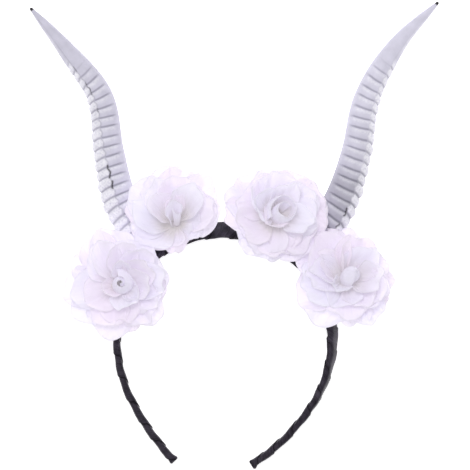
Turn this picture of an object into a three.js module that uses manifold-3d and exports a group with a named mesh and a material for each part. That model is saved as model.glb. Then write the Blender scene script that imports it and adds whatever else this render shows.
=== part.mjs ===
// Antler headband: a ribbon-wound hoop that carries two ringed horns and four cloth roses.
// Millimetres and degrees. The headband lies on its back: z = 0 is the surface under it, +Z points
// out of its front, +Y runs towards the horn tips and +X to the right as seen from the front.
import * as THREE from "three";
import { ParametricGeometry } from "three/addons/geometries/ParametricGeometry.js";
import { mergeVertices } from "three/addons/utils/BufferGeometryUtils.js";
import Module from "manifold-3d";

const wasm = await Module();
wasm.setup();

const { degToRad, lerp, clamp, inverseLerp } = THREE.MathUtils;

// Common sizes
const WELD = 0.0005;
const SHORTEST_EDGE = 0.01;

// Hoop: a half circle over the crown, then arms of tangent arcs that close in towards the tips
const CROWN = { x: -6, y: -59.8, radius: 62.6 };
const LEFT_ARM = [
  { radius: 81, sweep: 28 },
  { radius: 157, sweep: 14.8 },
];
const RIGHT_ARM = [
  { radius: 70, sweep: 32 },
  { radius: 116, sweep: 25.4 },
];

// Hoop sections at shares of its length from the left tip. The turn brings the outer face round
// towards the front.
const HOOP_SECTIONS = [
  { at: 0.0, width: 6.6, thickness: 3.4, turn: 0 },
  { at: 0.25, width: 7.6, thickness: 3.4, turn: 0 },
  { at: 0.5, width: 10.5, thickness: 3.4, turn: 48 },
  { at: 0.76, width: 8.4, thickness: 3.4, turn: 24 },
  { at: 0.89, width: 7.2, thickness: 3.4, turn: 0 },
  { at: 1.0, width: 6.6, thickness: 3.4, turn: 0 },
];
const HOOP_CORNER = 0.9;
const RIBBON = { pitch: 14, step: 0.45, rowsPerTurn: 2 };

// Horn axes from the hoop to the tip
const LEFT_HORN_AXIS = [
  { x: -49.4, y: -8.2, z: 8.7 },
  { x: -65.4, y: 18.5, z: 8.4 },
  { x: -73.0, y: 48.0, z: 7.5 },
  { x: -78.2, y: 80.0, z: 5.9 },
  { x: -98.0, y: 107.5, z: 4.9 },
  { x: -118.0, y: 130.8, z: 4.2 },
];
const RIGHT_HORN_AXIS = [
  { x: 40.6, y: -10.9, z: 8.7 },
  { x: 60.6, y: 17.0, z: 8.4 },
  { x: 71.0, y: 48.0, z: 7.5 },
  { x: 76.8, y: 78.0, z: 5.9 },
  { x: 95.2, y: 110.0, z: 4.9 },
  { x: 117.8, y: 135.0, z: 4.2 },
];

// Horn half widths at shares of the axis
const HORN_GIRTH = [
  { at: 0.0, radius: 10.0 },
  { at: 0.3, radius: 8.5 },
  { at: 0.55, radius: 7.5 },
  { at: 0.72, radius: 6.2 },
  { at: 0.87, radius: 3.4 },
  { at: 1.0, radius: 0.7 },
];
const HORN_DEPTH = 0.8;
const HORN_SIDES = 12;
const RIBS = { count: 19, from: 0.02, to: 0.7, height: 1.0, fade: 0.35, innerShare: 0.12 };
const SMOOTH_ROWS = 6;

// Roses: where the petals start, how far and towards which side the flower leans, how far it is
// turned about its own axis, how wide and tall it is pressed, and where its leg meets the crown: at
// an angle from the top (+ to the right), outside the crown's centreline by so much
const ROSES = [
  {
    name: "upper_left", x: -38.8, y: 17.2, z: 21.8,
    lean: 20, toward: -70, turn: 12, wide: 0.98, tall: 0.9, seat: -22, outside: 3.1,
  },
  {
    name: "upper_right", x: 21.8, y: 11.0, z: 24.7,
    lean: 16, toward: 29, turn: 26, wide: 1.1, tall: 0.95, seat: 22, outside: 4.6,
  },
  {
    name: "lower_left", x: -67.2, y: -27.2, z: 21.4,
    lean: 18, toward: -140, turn: 4, wide: 1.07, tall: 1.16, seat: -62, outside: 4.2,
  },
  {
    name: "lower_right", x: 64.0, y: -24.6, z: 17.3,
    lean: 14, toward: 37, turn: 20, wide: 0.98, tall: 1.04, seat: 62, outside: 3.25,
  },
];

// Rings of petals from the outside in. Each petal starts at the stem, opens from its root angle to
// its tip angle off the flower's axis, and rolls its rim outwards.
const RINGS = [
  {
    name: "outer_petals", petals: 5, cells: 8,
    rise: 1.2, rootOpen: 88, tipOpen: 76, length: 28, roll: 2.6,
  },
  {
    name: "middle_petals", petals: 5, cells: 6,
    rise: 3.2, rootOpen: 82, tipOpen: 50, length: 26, roll: 2.4,
  },
  {
    name: "inner_petals", petals: 4, cells: 6,
    rise: 5.2, rootOpen: 76, tipOpen: 24, length: 23.5, roll: 2.0,
  },
  {
    name: "heart_petals", petals: 3, cells: 6,
    rise: 7.2, rootOpen: 66, tipOpen: 2, length: 19.5, roll: 1.2,
  },
];
const PETAL = { wall: 1.0, rootRadius: 2.5, tuck: 1.0, lap: 3.5, round: 0.16, notch: 0.06 };

// How far petals of a ring may differ: in length, rim angle and place, as shares, degrees and shares
const UNEVEN = { longer: 0.06, wider: 4, shifted: 0.1 };

// A ring's wall in rows: up the under side to the rim and back down the upper side to the root
const WALL_ROWS = [
  { share: 0, side: -1 },
  { share: 0.4, side: -1 },
  { share: 0.8, side: -1 },
  { share: 1, side: 0 },
  { share: 0.8, side: 1 },
  { share: 0.4, side: 1 },
  { share: 0, side: 1 },
  { share: 0, side: -1 },
];
const RING_TURN = 31;
const BUD = { base: 10.6, height: 14, innerRadius: 1.1, outerRadius: 4.6, turns: 1.9, wall: 0.9, lean: 0.16 };
const BUD_CELLS = 13;
const BUD_ROWS = [0, 0, 0.5, 1, 1];
const STEM = { radius: 1.5, top: 10.0, cupRadius: 5, cupDepth: 3.2, legRadius: 1.8 };

// How high above the surface the legs end
const SEAT_HEIGHT = 4.5;

const FINISHES = {
  ribbon: { color: "#26232b", roughness: 0.55, metalness: 0 },
  horn: { color: "#cfccda", roughness: 0.6, metalness: 0 },
  petal: { color: "#f3eef7", roughness: 0.85, metalness: 0 },
  stem: { color: "#e6e3dc", roughness: 0.6, metalness: 0 },
};

/** Value of one column of a table at a share, straight between its rows. */
function between(rows, column, at) {
  const next = rows.findIndex((row) => row.at >= at);
  if (next <= 0) {
    return rows[0][column];
  }
  const low = rows[next - 1];
  const high = rows[next];
  return lerp(low[column], high[column], inverseLerp(low.at, high.at, at));
}

/** A repeatable uneven value from -1 to 1 for one petal and one use. */
function uneven(...keys) {
  const seed = keys.reduce((sum, key) => sum * 7.13 + key + 1, 0);
  const wave = Math.sin(seed * 12.9898) * 43758.5453;
  return 2 * (wave - Math.floor(wave)) - 1;
}

/** A closed solid from rows of a surface: at(a, row, target) gives the point at share a round a row. */
function closedRows(at, sides, rows) {
  const place = (a, b, target) => at(a, Math.round(b * (rows - 1)), target);
  const surface = new ParametricGeometry(place, sides, rows - 1);
  surface.deleteAttribute("normal");
  surface.deleteAttribute("uv");
  const welded = mergeVertices(surface, WELD);
  const corners = Array.from(welded.index.array);
  const kept = [];
  for (let i = 0; i < corners.length; i += 3) {
    const triangle = corners.slice(i, i + 3);
    if (new Set(triangle).size === 3) {
      kept.push(...triangle);
    }
  }
  welded.setIndex(kept);
  return welded;
}

/** One solid body for joining, from a closed geometry. */
function toBody(geometry) {
  const bare = geometry.clone();
  bare.deleteAttribute("normal");
  bare.deleteAttribute("uv");
  const welded = mergeVertices(bare, WELD);
  const mesh = new wasm.Mesh({
    numProp: 3,
    vertProperties: Float32Array.from(welded.attributes.position.array),
    triVerts: Uint32Array.from(welded.index.array),
  });
  return new wasm.Manifold(mesh);
}

/** The joined solid of several closed geometries, without its small pockets and shortest edges. */
function join(geometries) {
  const body = geometries.map(toBody).reduce((sum, next) => sum.add(next));
  const outer = body.decompose().reduce((best, shell) => (shell.volume() > best.volume() ? shell : best));
  const mesh = outer.simplify(SHORTEST_EDGE).getMesh();
  const geometry = new THREE.BufferGeometry();
  geometry.setAttribute("position", new THREE.BufferAttribute(mesh.vertProperties, 3));
  geometry.setIndex(new THREE.BufferAttribute(mesh.triVerts, 1));
  return geometry;
}

/** A named piece with its own finish. */
function piece(name, geometry, finish) {
  geometry.computeVertexNormals();
  const mesh = new THREE.Mesh(geometry, new THREE.MeshStandardMaterial(FINISHES[finish]));
  mesh.name = name;
  return mesh;
}

/** Centreline of the hoop from the left tip over the crown to the right tip, as tangent arcs. */
function hoopCentreline() {
  const arms = { left: [], right: [] };
  for (const [side, rows] of [["left", LEFT_ARM], ["right", RIGHT_ARM]]) {
    const outward = side === "left" ? -1 : 1;
    const centre = new THREE.Vector2(CROWN.x, CROWN.y);
    let radius = CROWN.radius;
    let turned = 0;
    for (const row of rows) {
      const along = new THREE.Vector2(outward * Math.cos(degToRad(turned)), -Math.sin(degToRad(turned)));
      centre.addScaledVector(along, radius - row.radius);
      radius = row.radius;
      arms[side].push({ centre: centre.clone(), radius, from: turned, to: turned + row.sweep });
      turned += row.sweep;
    }
  }
  const path = new THREE.CurvePath();
  const addArc = (centre, radius, from, to) => {
    path.add(new THREE.EllipseCurve(centre.x, centre.y, radius, radius, degToRad(from), degToRad(to), true));
  };
  for (const arc of arms.left.reverse()) {
    addArc(arc.centre, arc.radius, 180 + arc.to, 180 + arc.from);
  }
  addArc(CROWN, CROWN.radius, 180, 0);
  for (const arc of arms.right) {
    addArc(arc.centre, arc.radius, -arc.from, -arc.to);
  }
  return path;
}

/** Corners of a hoop section as [across the outer face, outwards], in order round it. */
function sectionCorners(width, thickness) {
  const [w, t] = [width / 2, thickness / 2];
  const [wIn, tIn] = [w - HOOP_CORNER, t - HOOP_CORNER];
  return [
    [w, -tIn], [wIn, -t], [-wIn, -t], [-w, -tIn],
    [-w, tIn], [-wIn, t], [wIn, t], [w, tIn],
  ];
}

/** The ribbon-wound hoop. Each turn of ribbon starts a step above the one before and sinks to it. */
function hoopGeometry() {
  const path = hoopCentreline();
  const turns = Math.round(path.getLength() / RIBBON.pitch);
  const spans = turns * RIBBON.rowsPerTurn;
  const rows = spans + 3;
  const corners = sectionCorners(1, 1).length;
  const at = (a, row, target) => {
    const share = clamp((row - 1) / spans, 0, 1);
    const centre = path.getPoint(share);
    const tangent = path.getTangent(share);
    const outward = new THREE.Vector3(-tangent.y, tangent.x, 0);
    const front = new THREE.Vector3(0, 0, 1);
    const turn = degToRad(between(HOOP_SECTIONS, "turn", share));
    const across = front.clone().multiplyScalar(Math.cos(turn)).addScaledVector(outward, -Math.sin(turn));
    const normal = outward.clone().multiplyScalar(Math.cos(turn)).addScaledVector(front, Math.sin(turn));
    const [width, thickness] = ["width", "thickness"].map((key) => between(HOOP_SECTIONS, key, share));
    const section = sectionCorners(width, thickness);
    const height = Math.max(...section.map(([w, t]) => -(w * across.z + t * normal.z)));
    const corner = Math.round(a * corners) % corners;
    const wound = share * turns + corner / corners;
    const lift = 1 + (RIBBON.step * (1 - (wound - Math.floor(wound)))) / thickness;
    const closed = row === 0 || row === rows - 1 ? 0 : 1;
    const [w, t] = section[corner];
    target.set(centre.x, centre.y, height);
    target.addScaledVector(across, closed * (w + Math.sign(w) * (lift - 1) * thickness));
    target.addScaledVector(normal, closed * t * lift);
    target.z = Math.max(target.z, 0);
  };
  return closedRows(at, corners, rows);
}

/** One horn along its axis: ribs stand proud on the outer side and fade out towards the inner side. */
function hornGeometry(axisRows, outerSide) {
  const axis = new THREE.CatmullRomCurve3(axisRows.map((row) => new THREE.Vector3(row.x, row.y, row.z)));
  const stations = [];
  for (let half = 0; half <= 2 * RIBS.count; half += 1) {
    stations.push({ at: lerp(RIBS.from, RIBS.to, half / (2 * RIBS.count)), crest: half % 2 });
  }
  for (let row = 1; row <= SMOOTH_ROWS; row += 1) {
    stations.push({ at: lerp(RIBS.to, 1, row / SMOOTH_ROWS), crest: 0 });
  }
  stations[0].at = 0;
  const last = stations.length - 1;
  const rows = stations.length + 2;
  const front = new THREE.Vector3(0, 0, 1);
  const at = (a, row, target) => {
    const station = stations[clamp(row - 1, 0, last)];
    const centre = axis.getPointAt(station.at);
    const tangent = axis.getTangentAt(station.at);
    const side = new THREE.Vector3().crossVectors(tangent, front).normalize();
    const back = new THREE.Vector3().crossVectors(tangent, side);
    const angle = 2 * Math.PI * a;
    const outerShare = (1 + outerSide * Math.cos(angle)) / 2;
    const strength = lerp(RIBS.innerShare, 1, outerShare) * lerp(1, RIBS.fade, station.at / RIBS.to);
    const radius = between(HORN_GIRTH, "radius", station.at) + (station.crest - 0.5) * RIBS.height * strength;
    const closed = row === 0 || row === rows - 1 ? 0 : 1;
    target.copy(centre);
    target.addScaledVector(side, closed * radius * Math.cos(angle));
    target.addScaledVector(back, closed * radius * HORN_DEPTH * Math.sin(angle));
  };
  return closedRows(at, HORN_SIDES, rows);
}

/** Point of a petal: u runs across it from -1 to 1, row up its wall. The upper side is turned ahead. */
function petalPoint(ring, petal, u, row, target) {
  const length = ring.length * (1 + UNEVEN.longer * petal.longer);
  const rim = 1 - PETAL.round * Math.abs(u) ** 3 - PETAL.notch * (1 - u * u) ** 4;
  const open = degToRad(ring.rootOpen);
  const bend = degToRad(ring.tipOpen + UNEVEN.wider * petal.wider - ring.rootOpen);
  const angle = open + bend * row.share * rim;
  const out = (length * (Math.cos(open) - Math.cos(angle))) / bend;
  const up = (length * (Math.sin(angle) - Math.sin(open))) / bend;
  const lift = (row.side * PETAL.wall) / 2;
  const tuck = PETAL.tuck * u * Math.min(1, 0.15 + 2.1 * row.share);
  const inward = lift + tuck - ring.roll * row.share ** 5;
  const around = degToRad(lerp(petal.from, petal.to, (u + 1) / 2) + row.side * PETAL.lap);
  const reach = PETAL.rootRadius + out - inward * Math.cos(angle);
  target.set(reach * Math.cos(around), reach * Math.sin(around), ring.rise + up + inward * Math.sin(angle));
}

/** One ring of petals as a closed wall round the stem. Each petal's edge lies over the next one's. */
function ringGeometry(ring, rose, roseIndex, ringIndex) {
  const edge = (index) => {
    const shift = UNEVEN.shifted * uneven(roseIndex, ringIndex, index % ring.petals, 0);
    return rose.turn + ringIndex * RING_TURN + (360 / ring.petals) * (index + shift);
  };
  const petals = Array.from({ length: ring.petals }, (_, index) => ({
    from: edge(index),
    to: edge(index + 1),
    longer: uneven(roseIndex, ringIndex, index, 1),
    wider: uneven(roseIndex, ringIndex, index, 2),
  }));
  const points = ring.cells + 1;
  const around = points * ring.petals;
  const at = (a, row, target) => {
    const point = Math.round(a * around) % around;
    const u = (2 * (point % points)) / ring.cells - 1;
    petalPoint(ring, petals[Math.floor(point / points)], u, WALL_ROWS[row], target);
  };
  return closedRows(at, around, WALL_ROWS.length);
}

/** The bud: one strip of cloth rolled up, a little narrower at its top. */
function budGeometry() {
  const at = (a, row, target) => {
    const cell = Math.round(a * 2 * BUD_CELLS);
    const u = Math.min(cell, 2 * BUD_CELLS - cell) / BUD_CELLS;
    const side = cell <= BUD_CELLS ? 1 : -1;
    const thin = row === 0 || row === BUD_ROWS.length - 1 || u === 0 || u === 1;
    const v = BUD_ROWS[row];
    const angle = 2 * Math.PI * BUD.turns * u;
    const swell = 1 + BUD.lean * Math.sin(Math.PI * v) - BUD.lean * v;
    const radius = lerp(BUD.innerRadius, BUD.outerRadius, u) * swell + (thin ? 0 : (side * BUD.wall) / 2);
    target.set(radius * Math.cos(angle), radius * Math.sin(angle), BUD.base + BUD.height * v);
  };
  return closedRows(at, 2 * BUD_CELLS, BUD_ROWS.length);
}

/** The plain stem: a post through the rings, a cup under them and a leg back to the hoop. */
function stemGeometry(legEnd) {
  const post = new THREE.CylinderGeometry(STEM.radius, STEM.radius, STEM.top + 1, 8);
  post.rotateX(Math.PI / 2).translate(0, 0, (STEM.top - 1) / 2);
  const cup = new THREE.CylinderGeometry(STEM.cupRadius, STEM.legRadius, STEM.cupDepth, 10);
  cup.rotateX(Math.PI / 2).translate(0, 0, -STEM.cupDepth / 2);
  const start = new THREE.Vector3(0, 0, -STEM.cupDepth / 2);
  const bow = new THREE.Vector3(0, 0, -STEM.cupDepth - 1).lerp(legEnd, 0.3);
  const run = new THREE.CatmullRomCurve3([start, bow, legEnd]);
  const round = new THREE.Shape().absarc(0, 0, STEM.legRadius, 0, 2 * Math.PI);
  const leg = new THREE.ExtrudeGeometry(round, { steps: 4, curveSegments: 3, extrudePath: run });
  return join([post, cup, leg]);
}

/** A rose: its bud, rings and stem in a group that leans on the hoop. */
function roseGroup(rose, roseIndex) {
  const group = new THREE.Group();
  group.name = `rose_${rose.name}`;
  group.position.set(rose.x, rose.y, rose.z);
  const toward = degToRad(rose.toward);
  const hinge = new THREE.Vector3(-Math.sin(toward), Math.cos(toward), 0);
  group.quaternion.setFromAxisAngle(hinge, degToRad(rose.lean));
  group.scale.set(rose.wide, rose.tall, 1);
  group.updateMatrixWorld(true);
  const seat = degToRad(rose.seat);
  const seatRadius = CROWN.radius + rose.outside;
  const legEnd = new THREE.Vector3(Math.sin(seat), Math.cos(seat), 0).multiplyScalar(seatRadius);
  legEnd.add(new THREE.Vector3(CROWN.x, CROWN.y, SEAT_HEIGHT));
  group.worldToLocal(legEnd);
  group.add(piece(`${group.name}_stem`, stemGeometry(legEnd), "stem"));
  RINGS.forEach((ring, ringIndex) => {
    const geometry = ringGeometry(ring, rose, roseIndex, ringIndex);
    group.add(piece(`${group.name}_${ring.name}`, geometry, "petal"));
  });
  group.add(piece(`${group.name}_bud`, budGeometry(), "petal"));
  return group;
}

const headband = new THREE.Group();
headband.name = "antler_headband";
headband.add(piece("band", hoopGeometry(), "ribbon"));
headband.add(piece("horn_left", hornGeometry(LEFT_HORN_AXIS, -1), "horn"));
headband.add(piece("horn_right", hornGeometry(RIGHT_HORN_AXIS, 1), "horn"));
ROSES.forEach((rose, roseIndex) => headband.add(roseGroup(rose, roseIndex)));

export default headband;
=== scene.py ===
"""Antler headband: cloth roses, ringed horns and a ribbon-wound hoop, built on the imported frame.

Shapes are worked out in millimetres and degrees, as the part's own drawing has them, and written to
the meshes in metres. The headband lies on its back, +Z points out of its front, +Y to the horn tips.
"""

import logging
from dataclasses import dataclass, field
from enum import Enum
from typing import Any

import bmesh
import bpy
import numpy as np
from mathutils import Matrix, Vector

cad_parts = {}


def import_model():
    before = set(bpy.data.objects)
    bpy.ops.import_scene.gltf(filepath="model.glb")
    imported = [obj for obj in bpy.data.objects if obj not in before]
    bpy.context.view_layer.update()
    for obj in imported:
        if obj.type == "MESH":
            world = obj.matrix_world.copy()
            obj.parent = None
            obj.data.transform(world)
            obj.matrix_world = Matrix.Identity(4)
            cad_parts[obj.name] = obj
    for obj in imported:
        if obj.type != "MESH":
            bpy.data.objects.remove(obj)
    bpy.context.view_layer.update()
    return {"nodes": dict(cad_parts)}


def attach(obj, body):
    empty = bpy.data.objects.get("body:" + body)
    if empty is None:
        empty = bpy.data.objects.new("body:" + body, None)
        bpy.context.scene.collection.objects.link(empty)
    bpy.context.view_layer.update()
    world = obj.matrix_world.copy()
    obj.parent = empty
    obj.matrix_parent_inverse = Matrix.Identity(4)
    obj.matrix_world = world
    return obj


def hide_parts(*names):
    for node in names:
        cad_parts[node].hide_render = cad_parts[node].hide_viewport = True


log = logging.getLogger("antler_headband")

Array = np.ndarray
Colour = tuple[float, float, float, float]
MM = 0.001

# The photograph: its side in pixels, and the millimetres that one pixel covers on the headband
PHOTO_SIDE = 470
PIXEL = 0.58

# Where a tube closes, points nearer than this are joined, and edges shorter than this are taken out
WELD = 0.0005
SLIVER = 0.0002

# Largest random phase of a wave, about a full turn in radians
FULL_TURN = 6.3


def smooth(low: float, high: float, value: Array) -> Array:
    """Rises from 0 to 1 between low and high with level ends: 3x squared less 2x cubed.

    Args:
        low: Value at which the rise starts.
        high: Value at which it ends.
        value: Values to be mapped.

    Returns:
        The rise for each value.
    """
    x = np.clip((value - low) / (high - low), 0.0, 1.0)
    return x * x * (3.0 - 2.0 * x)


def bell(value: Array, width: float) -> Array:
    """A bell curve of height 1 about zero: e to the minus square of value over width."""
    return np.exp(-((value / width) ** 2))


def flowing(at: Array, knots: Array, heights: Array) -> Array:
    """A smooth curve through knots: cubic pieces whose slopes are the knots' own differences.

    Args:
        at: Places where the curve is wanted.
        knots: Places of the knots, rising.
        heights: Heights of the knots, one number or one point each.

    Returns:
        The curve's heights at the places.
    """
    slopes = np.gradient(heights, knots, axis=0)
    piece = np.clip(np.searchsorted(knots, at, side="right") - 1, 0, len(knots) - 2)
    span = knots[piece + 1] - knots[piece]
    x = (at - knots[piece]) / span
    shape = x.shape + (1,) * (heights.ndim - 1)
    x, span = x.reshape(shape), span.reshape(shape)
    start = heights[piece] * (2 * x**3 - 3 * x**2 + 1) + slopes[piece] * span * (x**3 - 2 * x**2 + x)
    return start + heights[piece + 1] * (3 * x**2 - 2 * x**3) + slopes[piece + 1] * span * (x**3 - x**2)


def column(rows: tuple[Any, ...], name: str) -> Array:
    """One named column of a table of rows, as an array."""
    return np.array([getattr(row, name) for row in rows], float)


@dataclass
class Grid:
    """Patches of points in rows and columns, in millimetres.

    Attributes:
        points: Shape (patches, rows, columns, 3).
        uv: Shape (patches, rows, columns, 2), in metres over the flat surface.
        values: Named numbers for each point, of shape (patches, rows, columns).
        wrapped: True where the last column joins the first, as round a tube.
    """

    points: Array
    uv: Array
    values: dict[str, Array] = field(default_factory=dict)
    wrapped: bool = False

    def quads(self) -> Array:
        """Numbers the corners of every face.

        Returns:
            Four corner numbers to a face, in order round it.
        """
        patches, rows, columns, _ = self.points.shape
        row = np.arange(rows - 1)[:, None] * columns
        start = np.arange(columns if self.wrapped else columns - 1)[None, :]
        end = (start + 1) % columns
        face = np.stack([row + start, row + end, row + columns + end, row + columns + start], axis=-1)
        first = np.arange(patches)[:, None, None] * rows * columns
        return (face.reshape(1, -1, 4) + first).reshape(-1, 4)

    def area(self) -> float:
        """Measures the patches: half the cross product of a face's two diagonals, summed over the faces.

        Returns:
            The area in square millimetres.
        """
        corners = self.points.reshape(-1, 3)[self.quads()]
        across = np.cross(corners[:, 2] - corners[:, 0], corners[:, 3] - corners[:, 1])
        return float(np.linalg.norm(across, axis=1).sum() / 2)

    def to_object(self, name: str) -> bpy.types.Object:
        """Writes the patches to a smooth mesh object at the origin.

        Args:
            name: Name of the object and its mesh.

        Returns:
            The new object, linked to the scene.
        """
        quads = self.quads()
        mesh = bpy.data.meshes.new(name)
        mesh.from_pydata(self.points.reshape(-1, 3) * MM, [], quads)
        layer = mesh.uv_layers.new(name="cut")
        layer.uv.foreach_set("vector", self.uv.reshape(-1, 2)[quads.ravel()].astype(np.float32).ravel())
        for key, numbers in self.values.items():
            attribute = mesh.attributes.new(key, "FLOAT", "POINT")
            attribute.data.foreach_set("value", numbers.astype(np.float32).ravel())
        mesh.shade_smooth()
        mesh.update()
        piece = bpy.data.objects.new(name, mesh)
        bpy.context.scene.collection.objects.link(piece)
        return piece


def close_up(piece: bpy.types.Object) -> None:
    """Joins the points of a tube's seam and poles, and points its faces outwards.

    Args:
        piece: Object whose mesh is a closed tube.
    """
    work = bmesh.new()
    work.from_mesh(piece.data)
    bmesh.ops.remove_doubles(work, verts=work.verts, dist=WELD * MM)
    bmesh.ops.dissolve_degenerate(work, edges=work.edges, dist=SLIVER * MM)
    bmesh.ops.recalc_face_normals(work, faces=work.faces)
    work.to_mesh(piece.data)
    work.free()
    piece.data.shade_smooth()


def thicken(piece: bpy.types.Object, wall: float) -> None:
    """Gives a sheet its thickness, half to each side.

    Args:
        piece: Object whose mesh is the sheet's middle surface.
        wall: Thickness in millimetres.
    """
    solid = piece.modifiers.new("cloth thickness", "SOLIDIFY")
    solid.thickness = wall * MM
    solid.offset = 0.0
    solid.use_even_offset = False


class NodeBoard:
    """Places and links the nodes of one material or node group."""

    def __init__(self, tree: bpy.types.NodeTree) -> None:
        """Starts from an empty tree.

        Args:
            tree: Node tree to fill.
        """
        self.tree = tree
        self.tree.nodes.clear()

    def add(self, kind: str, inputs: dict[Any, Any] | None = None, **settings: Any) -> bpy.types.Node:
        """Adds a node.

        Args:
            kind: Blender's type of the node.
            inputs: Values or sockets for its inputs, by name or number.
            settings: Properties of the node.

        Returns:
            The new node.
        """
        node = self.tree.nodes.new(kind)
        for key, value in settings.items():
            setattr(node, key, value)
        for key, value in (inputs or {}).items():
            if isinstance(value, bpy.types.NodeSocket):
                self.tree.links.new(value, node.inputs[key])
            else:
                node.inputs[key].default_value = value
        return node

    def group(self, tree: bpy.types.NodeTree, inputs: dict[str, Any]) -> bpy.types.Node:
        """Adds a node group with its input values."""
        return self.add("ShaderNodeGroup", inputs, node_tree=tree)

    def blend(self, factor: Any, first: Any, second: Any, kind: str = "MIX") -> bpy.types.NodeSocket:
        """Mixes two colours.

        Args:
            factor: Share of the second colour, a number or a socket.
            first: First colour or socket.
            second: Second colour or socket.
            kind: Blender's name of the way of mixing.

        Returns:
            The socket of the mixed colour.
        """
        sockets = {0: factor, 6: first, 7: second}
        node = self.add("ShaderNodeMix", sockets, data_type="RGBA", blend_type=kind)
        return node.outputs[2]

    def maths(self, operation: str, first: Any, second: Any = 0.0) -> bpy.types.NodeSocket:
        """One sum of two numbers or sockets, and its result's socket."""
        return self.add("ShaderNodeMath", {0: first, 1: second}, operation=operation).outputs[0]

    def attribute(self, name: str) -> bpy.types.NodeSocket:
        """The socket of a number that the mesh holds for each point."""
        return self.add("ShaderNodeAttribute", attribute_name=name).outputs["Fac"]

    def noise(self, vector: bpy.types.NodeSocket, scale: float, detail: float = 2.0) -> bpy.types.NodeSocket:
        """Soft noise over a vector, from 0 to 1.

        Args:
            vector: Socket of the place.
            scale: Size of the noise, larger for finer noise.
            detail: Octaves of finer noise on top.

        Returns:
            The socket of the noise.
        """
        inputs = {"Vector": vector, "Scale": scale, "Detail": detail}
        return self.add("ShaderNodeTexNoise", inputs).outputs["Fac"]

    def streaks(self, scale: tuple[float, float, float], detail: float) -> bpy.types.NodeSocket:
        """Noise that is drawn out along the cut of a surface.

        Args:
            scale: Streaks to a metre in the cut's two directions, and 1.
            detail: Octaves of finer noise on top.

        Returns:
            The socket of the noise.
        """
        cut = self.cut()
        stretched = self.add("ShaderNodeMapping", {"Vector": cut, "Scale": scale}).outputs[0]
        return self.noise(stretched, 1.0, detail)

    def cut(self) -> bpy.types.NodeSocket:
        """The place on the flat surface, in metres."""
        return self.add("ShaderNodeUVMap", uv_map="cut").outputs["UV"]

    def place(self) -> bpy.types.NodeSocket:
        """The place on the headband, in metres."""
        return self.add("ShaderNodeTexCoord").outputs["Object"]

    def bump(
        self,
        height: bpy.types.NodeSocket,
        strength: float,
        depth: float,
        under: bpy.types.NodeSocket | None = None,
    ) -> bpy.types.NodeSocket:
        """Relief too fine for the mesh.

        Args:
            height: Socket of the relief, from 0 to 1.
            strength: Share of the relief that shows.
            depth: Height of the relief in metres.
            under: Normal of the relief that this one lies on.

        Returns:
            The socket of the normal.
        """
        inputs: dict[str, Any] = {"Strength": strength, "Distance": depth, "Height": height}
        if under is not None:
            inputs["Normal"] = under
        return self.add("ShaderNodeBump", inputs).outputs["Normal"]


def weave_group() -> bpy.types.NodeTree:
    """A plain weave: the product of two sine waves along the cut's two directions, from 0 to 1.

    Returns:
        The group, with the inputs Vector and Threads and the output Height.
    """
    tree = bpy.data.node_groups.new("plain weave", "ShaderNodeTree")
    tree.interface.new_socket("Vector", in_out="INPUT", socket_type="NodeSocketVector")
    tree.interface.new_socket("Threads", in_out="INPUT", socket_type="NodeSocketFloat")
    tree.interface.new_socket("Height", in_out="OUTPUT", socket_type="NodeSocketFloat")
    board = NodeBoard(tree)
    source = board.add("NodeGroupInput")
    axes = board.add("ShaderNodeSeparateXYZ", {0: source.outputs["Vector"]})
    waves = []
    for axis in ("X", "Y"):
        turns = board.maths("MULTIPLY", axes.outputs[axis], source.outputs["Threads"])
        waves.append(board.maths("SINE", turns))
    product = board.maths("MULTIPLY", waves[0], waves[1])
    height = board.add("ShaderNodeMath", {0: product, 1: 0.5, 2: 0.5}, operation="MULTIPLY_ADD")
    board.add("NodeGroupOutput", {"Height": height.outputs[0]})
    return tree


def tone_group() -> bpy.types.NodeTree:
    """Cloudy tone: soft noise about 1, spread by a given share.

    Returns:
        The group, with the inputs Vector, Scale and Spread and the output Tone.
    """
    tree = bpy.data.node_groups.new("cloudy tone", "ShaderNodeTree")
    tree.interface.new_socket("Vector", in_out="INPUT", socket_type="NodeSocketVector")
    tree.interface.new_socket("Scale", in_out="INPUT", socket_type="NodeSocketFloat")
    tree.interface.new_socket("Spread", in_out="INPUT", socket_type="NodeSocketFloat")
    tree.interface.new_socket("Tone", in_out="OUTPUT", socket_type="NodeSocketFloat")
    board = NodeBoard(tree)
    source = board.add("NodeGroupInput")
    cloud = board.add(
        "ShaderNodeTexNoise",
        {"Vector": source.outputs["Vector"], "Scale": source.outputs["Scale"], "Detail": 4.0},
    )
    centred = board.maths("SUBTRACT", cloud.outputs["Fac"], 0.5)
    spread = board.maths("MULTIPLY", centred, source.outputs["Spread"])
    tone = board.maths("ADD", spread, 1.0)
    board.add("NodeGroupOutput", {"Tone": tone})
    return tree


@dataclass(frozen=True)
class Effects:
    """Node groups that several finishes share."""

    weave: bpy.types.NodeTree
    tone: bpy.types.NodeTree


def new_material(name: str) -> tuple[bpy.types.Material, NodeBoard]:
    """Starts an empty node material.

    Args:
        name: Name of the material.

    Returns:
        The material and the board for its nodes.
    """
    material = bpy.data.materials.new(name)
    material.use_nodes = True
    return material, NodeBoard(material.node_tree)


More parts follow.
